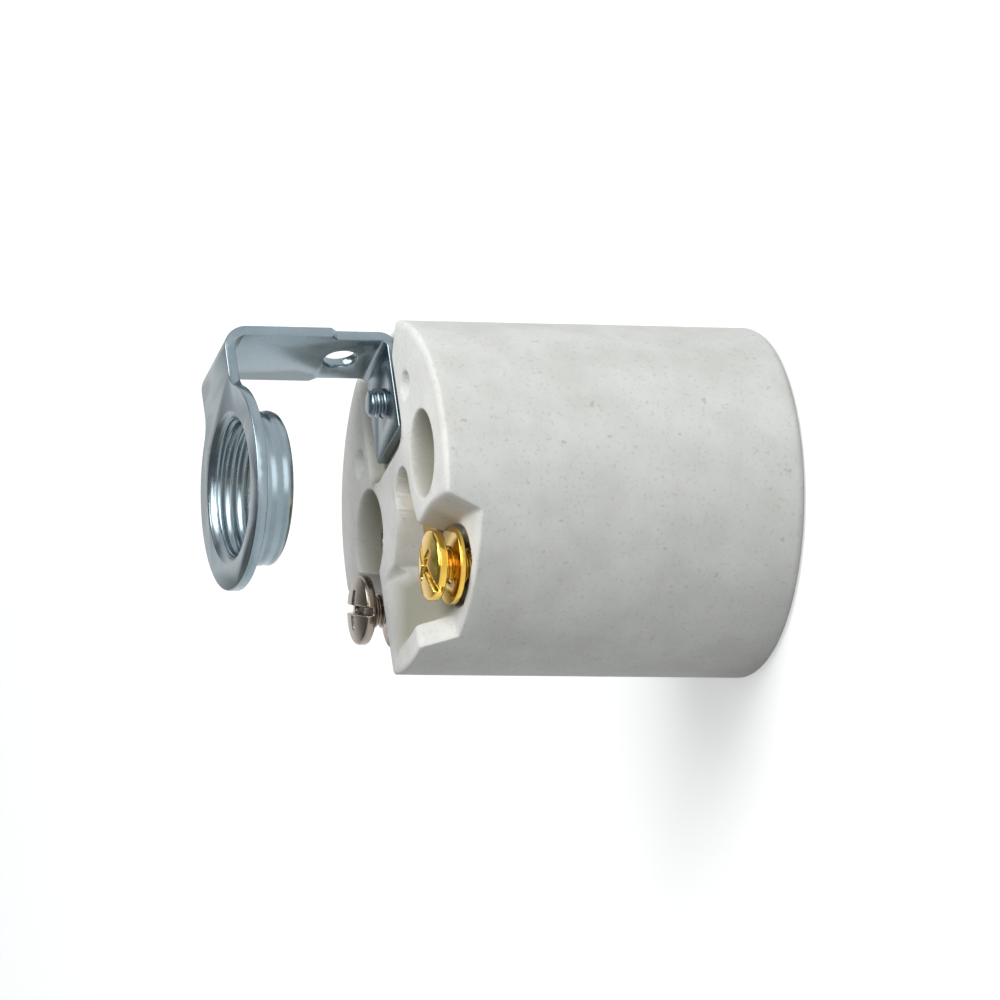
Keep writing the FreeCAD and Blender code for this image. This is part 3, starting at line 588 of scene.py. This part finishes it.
def collar_surface():
    """Closed loop profile of the tapped sleeve: its rounded free end, up the outside, where the thread shows
    through the thin wall, to the root under the ring, then round the rounded entry and down the inside.
    Both walls follow the wave of z / pitch - angle / 2 pi."""

    def wave(z):
        """The thread's wave, fading out over 0.5 mm at the free end and over 0.6 mm at the ring."""
        fade = np.clip((z - COLLAR_LOW_Z) / 0.5, 0, 1) * np.clip((COLLAR_HIGH_Z - z) / 0.6, 0, 1)
        turns = z[:, None] / PIPE_PITCH - angles(COLLAR_COLUMNS) / (2 * math.pi)
        return thread_wave(turns) * fade[:, None]

    profile = [(8.1, COLLAR_LOW_Z), (8.3, COLLAR_LOW_Z - 0.02), (8.5, COLLAR_LOW_Z + 0.01),
               (8.66, COLLAR_LOW_Z + 0.1)]
    z = np.linspace(COLLAR_LOW_Z + 0.25, COLLAR_HIGH_Z - 0.6, 52)
    swell = 0.22 * np.sqrt(np.clip((z - COLLAR_LOW_Z) / 0.7, 0, 1))
    waist = 0.16 * np.exp(-((61.8 - z) / 0.35) ** 2)
    root = 0.45 * np.exp(-((62.3 - z) / 0.22) ** 2)
    profile += list(zip(COLLAR_OUTER_RADIUS + 0.1 * wave(z) + (swell - waist + root)[:, None], z))
    profile += [(ENTRY_CENTRE[0], COLLAR_HIGH_Z - 0.05)]
    profile += [(ENTRY_CENTRE[0] - ENTRY_RADIUS * math.cos(phi),
                 ENTRY_CENTRE[1] + ENTRY_RADIUS * math.sin(phi))
                for phi in np.linspace(math.pi / 2, 0.15, 9)]
    z = np.linspace(62.4, COLLAR_LOW_Z + 0.2, 60)
    profile += list(zip(COLLAR_BORE_RADIUS - COLLAR_THREAD_DEPTH * wave(z), z))
    return turned_surface(profile, COLLAR_COLUMNS, (COLLAR_CENTRE_X, 0), looped=True)


def zinc_material():
    """Bright zinc plate with a thin blue passivate over rolled steel: satin grey-blue with rolling lines
    along the strip, cloudy where the plating bath left it uneven."""
    material = bpy.data.materials.new("blue_zinc_plated_steel")
    material.use_nodes = True
    tree = material.node_tree
    tree.nodes.clear()
    place = add_node(tree, "ShaderNodeTexCoord").outputs["Object"]
    # Bath clouds about 4 mm across
    cloud = add_node(tree, "ShaderNodeTexNoise",
                     inputs={"Vector": place, "Scale": 250.0, "Detail": 3.0, "Roughness": 0.55})
    tint = add_node(tree, "ShaderNodeMix", {"data_type": "RGBA"},
                    {0: cloud.outputs[0], 6: linear_colour("#78878F"), 7: linear_colour("#9BAAB1")})
    # Rolling lines about 0.15 mm apart along the strip
    stretch = add_node(tree, "ShaderNodeMapping", inputs={"Vector": place, "Scale": (300.0, 6500.0, 300.0)})
    lines = add_node(tree, "ShaderNodeTexNoise",
                     inputs={"Vector": stretch.outputs[0], "Scale": 1.0, "Detail": 2.0})
    rough = add_node(tree, "ShaderNodeMapRange",
                     inputs={"Value": cloud.outputs[0], "From Min": 0.3, "From Max": 0.7,
                             "To Min": 0.2, "To Max": 0.32})
    bump = add_node(tree, "ShaderNodeBump",
                    inputs={"Height": lines.outputs[0], "Strength": 0.12, "Distance": 0.00002})
    shader = add_node(tree, "ShaderNodeBsdfPrincipled",
                      inputs={"Base Color": tint.outputs[2], "Metallic": 1.0, "Roughness": rough.outputs[0],
                              "Normal": bump.outputs[0]})
    add_node(tree, "ShaderNodeOutputMaterial", inputs={"Surface": shader.outputs[0]})
    return material


zinc = zinc_material()
strip = eased_copy("bracket", "bent_strip", STRIP_EASING)
strip.data.materials.append(zinc)
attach(strip, "holder")

collar = mesh_piece("tapped_collar", *collar_surface())
collar.data.materials.append(zinc)
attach(collar, "holder")

# Bracket screw.
# Zinc-plated steel machine screw, 32 threads to the inch, with rolled threads. Its head lies in the
# counterbore below, and its end stands out of the tapped foot.

MACHINE_PITCH = 25.4 / 32
BRACKET_SCREW_HEAD_Z = 31.7
BRACKET_SCREW_TIP_Z = 45.2
BRACKET_SCREW_ROOT = 1.32
BRACKET_THREAD_DEPTH = 0.42


def bracket_screw_surface():
    """Profile from the middle of the head's face, round its edge and seat, and up the thread to the
    chamfered tip; the thread is the wave of z / pitch - angle / 2 pi."""
    columns = 72
    head_seat = BRACKET_SCREW_HEAD_Z + 2.4
    profile = [(0.05, BRACKET_SCREW_HEAD_Z), (2.2, BRACKET_SCREW_HEAD_Z), (2.7, BRACKET_SCREW_HEAD_Z + 0.2),
               (2.88, BRACKET_SCREW_HEAD_Z + 0.7), (2.9, head_seat - 0.1), (2.85, head_seat),
               (1.8, head_seat)]
    z = np.arange(head_seat + 0.1, BRACKET_SCREW_TIP_Z - 0.05, 0.085)
    wave = thread_wave(z[:, None] / MACHINE_PITCH - angles(columns) / (2 * math.pi))
    chamfer = np.minimum(1.74, 1.3 + (BRACKET_SCREW_TIP_Z - z) * 0.9)
    profile += list(zip(np.minimum(BRACKET_SCREW_ROOT + BRACKET_THREAD_DEPTH * wave, chamfer[:, None]), z))
    profile += [(1.15, BRACKET_SCREW_TIP_Z), (0.05, BRACKET_SCREW_TIP_Z)]
    return turned_surface(profile, columns, (BRACKET_SCREW_X, 0))


screw = mesh_piece("foot_screw", *bracket_screw_surface())
screw.data.materials.append(zinc)
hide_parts("bracket_screw")
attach(screw, "holder")

# Terminals.
# Stamped plates and cold headed binding screws, brass on the line side and nickel-plated brass on the
# neutral side; each head has a slot for a flat blade and a cross recess.

TERMINAL_HEAD_RADIUS = 4.1
TERMINAL_HEAD_EDGE = 1.15
TERMINAL_HEAD_DOME = 0.55
TERMINAL_HEAD_EASING = 0.3
TERMINAL_HEAD_CELLS = 64
TERMINAL_SHANK_RADIUS = 2.085
TERMINAL_SHANK_ROOT = 1.62
TERMINAL_SHANK_LENGTH = 7.6
LINE_HEAD_SEAT_Z = 42.4
NEUTRAL_HEAD_SEAT_Z = 44.2
LINE_HEAD_TURN = math.radians(20)
NEUTRAL_HEAD_TURN = math.radians(60)
DRIVE_HALF = 0.55
DRIVE_WALL = 0.14
PLATE_EASING = 0.2
PLATE_LIFT = 0.0005


def drive_drop(x, y):
    """Depth of the driving recess at (x, y): a slot right across, and a cross of tapered arms that is
    deepest at its middle; each wall falls over 0.14 mm."""
    slot = np.clip((DRIVE_HALF - np.abs(y)) / DRIVE_WALL, 0, 1) * 0.75
    reach = np.hypot(x, y)
    arm_half = 0.62 - 0.12 * reach
    upright = np.clip((arm_half - np.abs(x)) / DRIVE_WALL, 0, 1)
    level_arm = np.clip((arm_half - np.abs(y)) / DRIVE_WALL, 0, 1)
    cross = np.maximum(upright, level_arm) * np.clip((2.35 - reach) / 0.5, 0, 1) * (1.5 - 0.25 * reach)
    return np.maximum(slot, cross)


def terminal_screw_surface(place, seat, turn):
    """The head's top is a disc: a shallow dome less the recess, turned by the given angle. Rings follow the
    eased edge, the head's side and underside, then the threaded shank down to its tip, where the thread is
    the wave of z / pitch - angle / 2 pi."""
    crown = seat + TERMINAL_HEAD_EDGE + TERMINAL_HEAD_DOME
    flat_radius = TERMINAL_HEAD_RADIUS - TERMINAL_HEAD_EASING
    tip = seat - TERMINAL_SHANK_LENGTH

    def top(x, y):
        """Height of the domed top: the crown less dome (r / R) ** 2.2 and less the driving recess."""
        dome = TERMINAL_HEAD_DOME * (np.hypot(x, y) / TERMINAL_HEAD_RADIUS) ** 2.2
        along = x * math.cos(turn) + y * math.sin(turn)
        aside = y * math.cos(turn) - x * math.sin(turn)
        return crown - dome - drive_drop(along, aside)

    disc, disc_faces, edge, angle = disc_surface(flat_radius, TERMINAL_HEAD_CELLS, top)
    profile = []
    for phi in np.linspace(0, math.pi / 2, 5)[1:]:
        radius = flat_radius + TERMINAL_HEAD_EASING * math.sin(phi)
        easing = TERMINAL_HEAD_EASING * (1 - math.cos(phi))
        profile.append((radius, top(radius * np.cos(angle), radius * np.sin(angle)) - easing))
    profile += [(TERMINAL_HEAD_RADIUS, seat + 0.25), (TERMINAL_HEAD_RADIUS - 0.08, seat + 0.08),
                (TERMINAL_HEAD_RADIUS - 0.25, seat), (3.2, seat + 0.02), (2.2, seat + 0.12)]
    z = np.arange(seat, tip + 0.1, -0.09)
    wave = thread_wave(z[:, None] / MACHINE_PITCH - angle / (2 * math.pi))
    thread = TERMINAL_SHANK_ROOT + (TERMINAL_SHANK_RADIUS - TERMINAL_SHANK_ROOT) * wave
    chamfer = np.minimum(TERMINAL_SHANK_RADIUS, 1.6 + (z - tip))
    profile += list(zip(np.minimum(thread, chamfer[:, None]), z))
    profile += [(1.4, tip)]
    points, faces = carried_down(disc, disc_faces, edge, angle, profile, (0, 0, tip))
    return (points + np.array([place[0], place[1], 0])) * 0.001, faces


def raise_round_end(plate):
    """Lifts the underside of the line plate's round end half a millimetre clear of the floor: every point
    below z = 39.95 mm within 5 mm of the screw's axis goes up by the lift."""
    spots = np.empty(len(plate.data.vertices) * 3)
    plate.data.vertices.foreach_get("co", spots)
    spots = spots.reshape(-1, 3)
    axis = np.array(LINE_SCREW_PLACE) * 0.001
    from_screw = np.hypot(spots[:, 0] - axis[0], spots[:, 1] - axis[1])
    spots[:, 2] += np.where((spots[:, 2] < 0.03995) & (from_screw < 0.005), PLATE_LIFT, 0)
    plate.data.vertices.foreach_set("co", spots.ravel())


def plated_metal(name, dark, light, low_rough, high_rough):
    """Stamped, drawn or headed metal with a bright finish: its colour and gloss drift over 2 mm, and fine
    tool and handling marks about 0.25 mm across break up the highlights."""
    material = bpy.data.materials.new(name)
    material.use_nodes = True
    tree = material.node_tree
    tree.nodes.clear()
    place = add_node(tree, "ShaderNodeTexCoord").outputs["Object"]
    drift = add_node(tree, "ShaderNodeTexNoise",
                     inputs={"Vector": place, "Scale": 450.0, "Detail": 2.0, "Roughness": 0.5})
    tint = add_node(tree, "ShaderNodeMix", {"data_type": "RGBA"},
                    {0: drift.outputs[0], 6: linear_colour(dark), 7: linear_colour(light)})
    rough = add_node(tree, "ShaderNodeMapRange",
                     inputs={"Value": drift.outputs[0], "From Min": 0.3, "From Max": 0.7,
                             "To Min": low_rough, "To Max": high_rough})
    marks = add_node(tree, "ShaderNodeTexNoise", inputs={"Vector": place, "Scale": 4200.0, "Detail": 2.0})
    bump = add_node(tree, "ShaderNodeBump",
                    inputs={"Height": marks.outputs[0], "Strength": 0.10, "Distance": 0.00003})
    shader = add_node(tree, "ShaderNodeBsdfPrincipled",
                      inputs={"Base Color": tint.outputs[2], "Metallic": 1.0, "Roughness": rough.outputs[0],
                              "Normal": bump.outputs[0]})
    add_node(tree, "ShaderNodeOutputMaterial", inputs={"Surface": shader.outputs[0]})
    return material


# Bright-dipped brass is yellow and glossy; nickel over brass is a warm grey and a little duller.
brass = plated_metal("bright_brass", "#D6A63C", "#F0CE6C", 0.10, 0.22)
nickel = plated_metal("nickel_plated_brass", "#82786E", "#AAA095", 0.18, 0.3)

line_head = mesh_piece("line_head", *terminal_screw_surface(LINE_SCREW_PLACE, LINE_HEAD_SEAT_Z,
                                                            LINE_HEAD_TURN))
line_head.data.materials.append(brass)
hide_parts("line_terminal_screw")
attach(line_head, "line_screw")

neutral_head = mesh_piece("neutral_head", *terminal_screw_surface(NEUTRAL_SCREW_PLACE, NEUTRAL_HEAD_SEAT_Z,
                                                                  NEUTRAL_HEAD_TURN))
neutral_head.data.materials.append(nickel)
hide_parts("neutral_terminal_screw")
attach(neutral_head, "neutral_screw")

line_plate = eased_copy("line_terminal_plate", "line_plate", PLATE_EASING)
raise_round_end(line_plate)
line_plate.data.materials.append(brass)
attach(line_plate, "holder")

neutral_plate = eased_copy("neutral_terminal_plate", "neutral_plate", PLATE_EASING)
neutral_plate.data.materials.append(nickel)
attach(neutral_plate, "holder")

# Rivets.
# Tubular brass rivets, the two on the shell nickel plated like it. The setting tool rolls their open
# ends over, against the floor of a well or of the channel.

RIVET_RADIUS = 1.5
RIVET_BORE = 0.95
RIVET_ROLL = 0.8
RIVET_HEAD = 0.70
RIVET_COLUMNS = 64


def rivet_surface(place, low_seat, high_seat):
    """Closed loop profile: domed lower head, shank, rolled upper head and the bore through both. Each head
    is half an ellipse, RIVET_ROLL wide and RIVET_HEAD high."""
    roll = np.linspace(0, math.pi, 9)
    half = RIVET_HEAD / 2
    profile = [(RIVET_BORE, low_seat - half), (1.1, low_seat - 0.62), (1.45, low_seat - RIVET_HEAD)]
    profile += [(RIVET_RADIUS + RIVET_ROLL * math.sin(t), low_seat - half - half * math.cos(t))
                for t in roll[1:-2]]
    profile += [(2.1, low_seat), (RIVET_RADIUS, low_seat), (RIVET_RADIUS, high_seat), (2.1, high_seat)]
    profile += [(RIVET_RADIUS + RIVET_ROLL * math.sin(t), high_seat + half - half * math.cos(t))
                for t in roll[2:-1]]
    profile += [(1.45, high_seat + RIVET_HEAD), (1.1, high_seat + 0.62), (RIVET_BORE, high_seat + half)]
    return turned_surface(profile, RIVET_COLUMNS, place, looped=True)


for name, node, place, low_seat, high_seat, finish, slot in (
        ("free_rivet", "shell_rivet_free", (0, -10.4), 30.1, 39.9, nickel, "nickel_brass"),
        ("neutral_rivet", "shell_rivet_neutral", (0, 10.4), 30.1, 41.1, nickel, "nickel_brass"),
        ("line_rivet", "contact_rivet", LINE_RIVET_PLACE, 30.0, 41.1, brass, "brass")):
    rivet = mesh_piece(name, *rivet_surface(place, low_seat, high_seat))
    rivet.data.materials.append(finish)
    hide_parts(node)
    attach(rivet, "holder")

# Screw shell.
# Drawn from thin nickel-plated brass sheet and riveted to the cavity's floor by its flange. Its thread is
# rolled to take a medium lamp base, 7 threads to the inch.

LAMP_PITCH = 25.4 / 7
SHELL_WALL = 0.36
SHELL_RADIUS = 12.72
SHELL_MOUTH_Z = 7.9
SHELL_THREAD_END_Z = 24.5
SHELL_COLUMNS = 180


def shell_surface():
    """Closed loop profile: up the outside from the beaded mouth, across the flange, back and down the
    inside. Between z = 8 and z = 24 both walls follow the wave of z / pitch - angle / 2 pi."""

    def wall(z):
        """Inner radius at height z, one row for each height and one column for each angle."""
        z = np.asarray(z)[..., None]
        fade = np.clip((z - SHELL_MOUTH_Z) / 1.2, 0, 1) * np.clip((SHELL_THREAD_END_Z - z) / 1.6, 0, 1)
        wave = thread_wave(z / LAMP_PITCH - angles(SHELL_COLUMNS) / (2 * math.pi))
        return SHELL_RADIUS + fade * (0.62 * wave - 0.18)

    z = np.concatenate([np.linspace(SHELL_MOUTH_Z, 25.0, 96), np.linspace(25.5, 30.2, 8)])
    profile = list(zip(wall(z) + SHELL_WALL, z))

    # Shoulder and flange, 0.4 mm thick, against the floor of the cavity
    profile += [(wall(30.2) + SHELL_WALL - 0.1, 30.42), (12.7, CAVITY_DEPTH), (7.8, CAVITY_DEPTH),
                (7.7, CAVITY_DEPTH - 0.05), (7.7, CAVITY_DEPTH - 0.35), (7.8, CAVITY_DEPTH - 0.4),
                (12.3, CAVITY_DEPTH - 0.4), (12.6, CAVITY_DEPTH - 0.5)]
    z = np.concatenate([np.linspace(29.7, 25.5, 7), np.linspace(25.0, SHELL_MOUTH_Z, 96)])
    profile += list(zip(wall(z), z))

    # Mouth rolled outwards into a bead
    mouth = wall(SHELL_MOUTH_Z)
    profile += [(mouth + 0.12, 7.45), (mouth + 0.45, 7.1), (mouth + 0.8, 7.0), (mouth + 0.95, 7.12),
                (mouth + 0.8, 7.35), (mouth + 0.5, 7.6)]
    return turned_surface(profile, SHELL_COLUMNS, (0, 0), looped=True)


shell = mesh_piece("rolled_shell", *shell_surface())
shell.data.materials.append(nickel)
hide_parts("screw_shell")
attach(shell, "holder")

# Centre contact.
# Spring brass strip riveted to the cavity's floor and folded over past its middle, so that the lower
# leaf gives under the lamp's tip, which meets its raised dimple.

CONTACT_WIDTH = 5.0
CONTACT_SHEET = 0.5
CONTACT_FOLD_BEYOND = 5.8
CONTACT_TIP_BEYOND = 2.4
FLOOR_LEAF_Z = 30.25
LOWER_LEAF_Z = 27.55
FOLD_RADIUS = 1.35
FOLD_MIDDLE_Z = 28.9
DIMPLE_RADIUS = 2.1
DIMPLE_HEIGHT = 0.5


def contact_path():
    """Middle line of the sheet as pairs of distance from the rivet and height: along the floor, round the
    fold and back to the lamp's axis, then up a little to the free end."""
    reach = math.hypot(*LINE_RIVET_PLACE)
    fold_start = reach + CONTACT_FOLD_BEYOND - FOLD_RADIUS
    fold_length = FOLD_RADIUS - CONTACT_SHEET / 2
    path = [(s, FLOOR_LEAF_Z) for s in np.linspace(-2.7, fold_start, 16)]
    path += [(fold_start + fold_length * math.cos(t), FOLD_MIDDLE_Z - FOLD_RADIUS * math.sin(t))
             for t in np.linspace(-math.pi / 2, math.pi / 2, 13)[1:-1]]
    path += [(fold_start - (fold_start - reach) * t, LOWER_LEAF_Z - 0.2 * t) for t in np.linspace(0, 1, 22)]
    path += [(reach - CONTACT_TIP_BEYOND * t, LOWER_LEAF_Z - 0.2 + 0.7 * t * t)
             for t in np.linspace(0, 1, 12)[1:]]
    return np.array(path), reach


def contact_surface():
    """A section carried along a path: the sheet is a flat tube round the middle line, set off along the
    line's normal, and its lower leaf is dished down by d (1 - r^2 / R^2) ** 0.7 over the lamp's axis."""
    path, reach = contact_path()
    tangent = np.gradient(path, axis=0)
    tangent /= np.linalg.norm(tangent, axis=1)[:, None]
    normal = np.stack([-tangent[:, 1], tangent[:, 0]], axis=1)

    half = CONTACT_SHEET / 2
    edge = CONTACT_WIDTH / 2
    across = np.linspace(-1, 1, 21)
    section = [(v * (edge - 0.1), half) for v in across]
    section += [(edge, half * 0.5), (edge, -half * 0.5)]
    section += [(v * (edge - 0.1), -half) for v in across[::-1]]
    section += [(-edge, -half * 0.5), (-edge, half * 0.5)]
    section = np.array(section)

    along = path[:, None, 0] + normal[:, None, 0] * section[None, :, 1]
    height = path[:, None, 1] + normal[:, None, 1] * section[None, :, 1]
    aside = np.broadcast_to(section[None, :, 0], along.shape)
    lower_leaf = path[:, 1] < 28.4
    from_axis = ((along - reach) ** 2 + aside ** 2) / DIMPLE_RADIUS ** 2
    height = height - DIMPLE_HEIGHT * np.clip(1 - from_axis, 0, 1) ** 0.7 * lower_leaf[:, None]

    turn = math.atan2(-LINE_RIVET_PLACE[1], -LINE_RIVET_PLACE[0])
    x = LINE_RIVET_PLACE[0] + along * math.cos(turn) - aside * math.sin(turn)
    y = LINE_RIVET_PLACE[1] + along * math.sin(turn) + aside * math.cos(turn)
    points = np.stack([x, y, height], axis=2).reshape(-1, 3)
    index = np.arange(along.size).reshape(along.shape)
    next_index = np.roll(index, -1, axis=1)
    quads = np.stack([index[:-1], next_index[:-1], next_index[1:], index[1:]], axis=2)
    return points * 0.001, quads.reshape(-1, 4).tolist() + [index[0, ::-1].tolist(), index[-1].tolist()]


contact = mesh_piece("contact_spring_leaf", *contact_surface())
work = bmesh.new()
work.from_mesh(contact.data)
bmesh.ops.recalc_face_normals(work, faces=work.faces)
work.to_mesh(contact.data)
work.free()
contact.data.materials.append(brass)
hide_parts("centre_contact")
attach(contact, "holder")
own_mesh(contact)
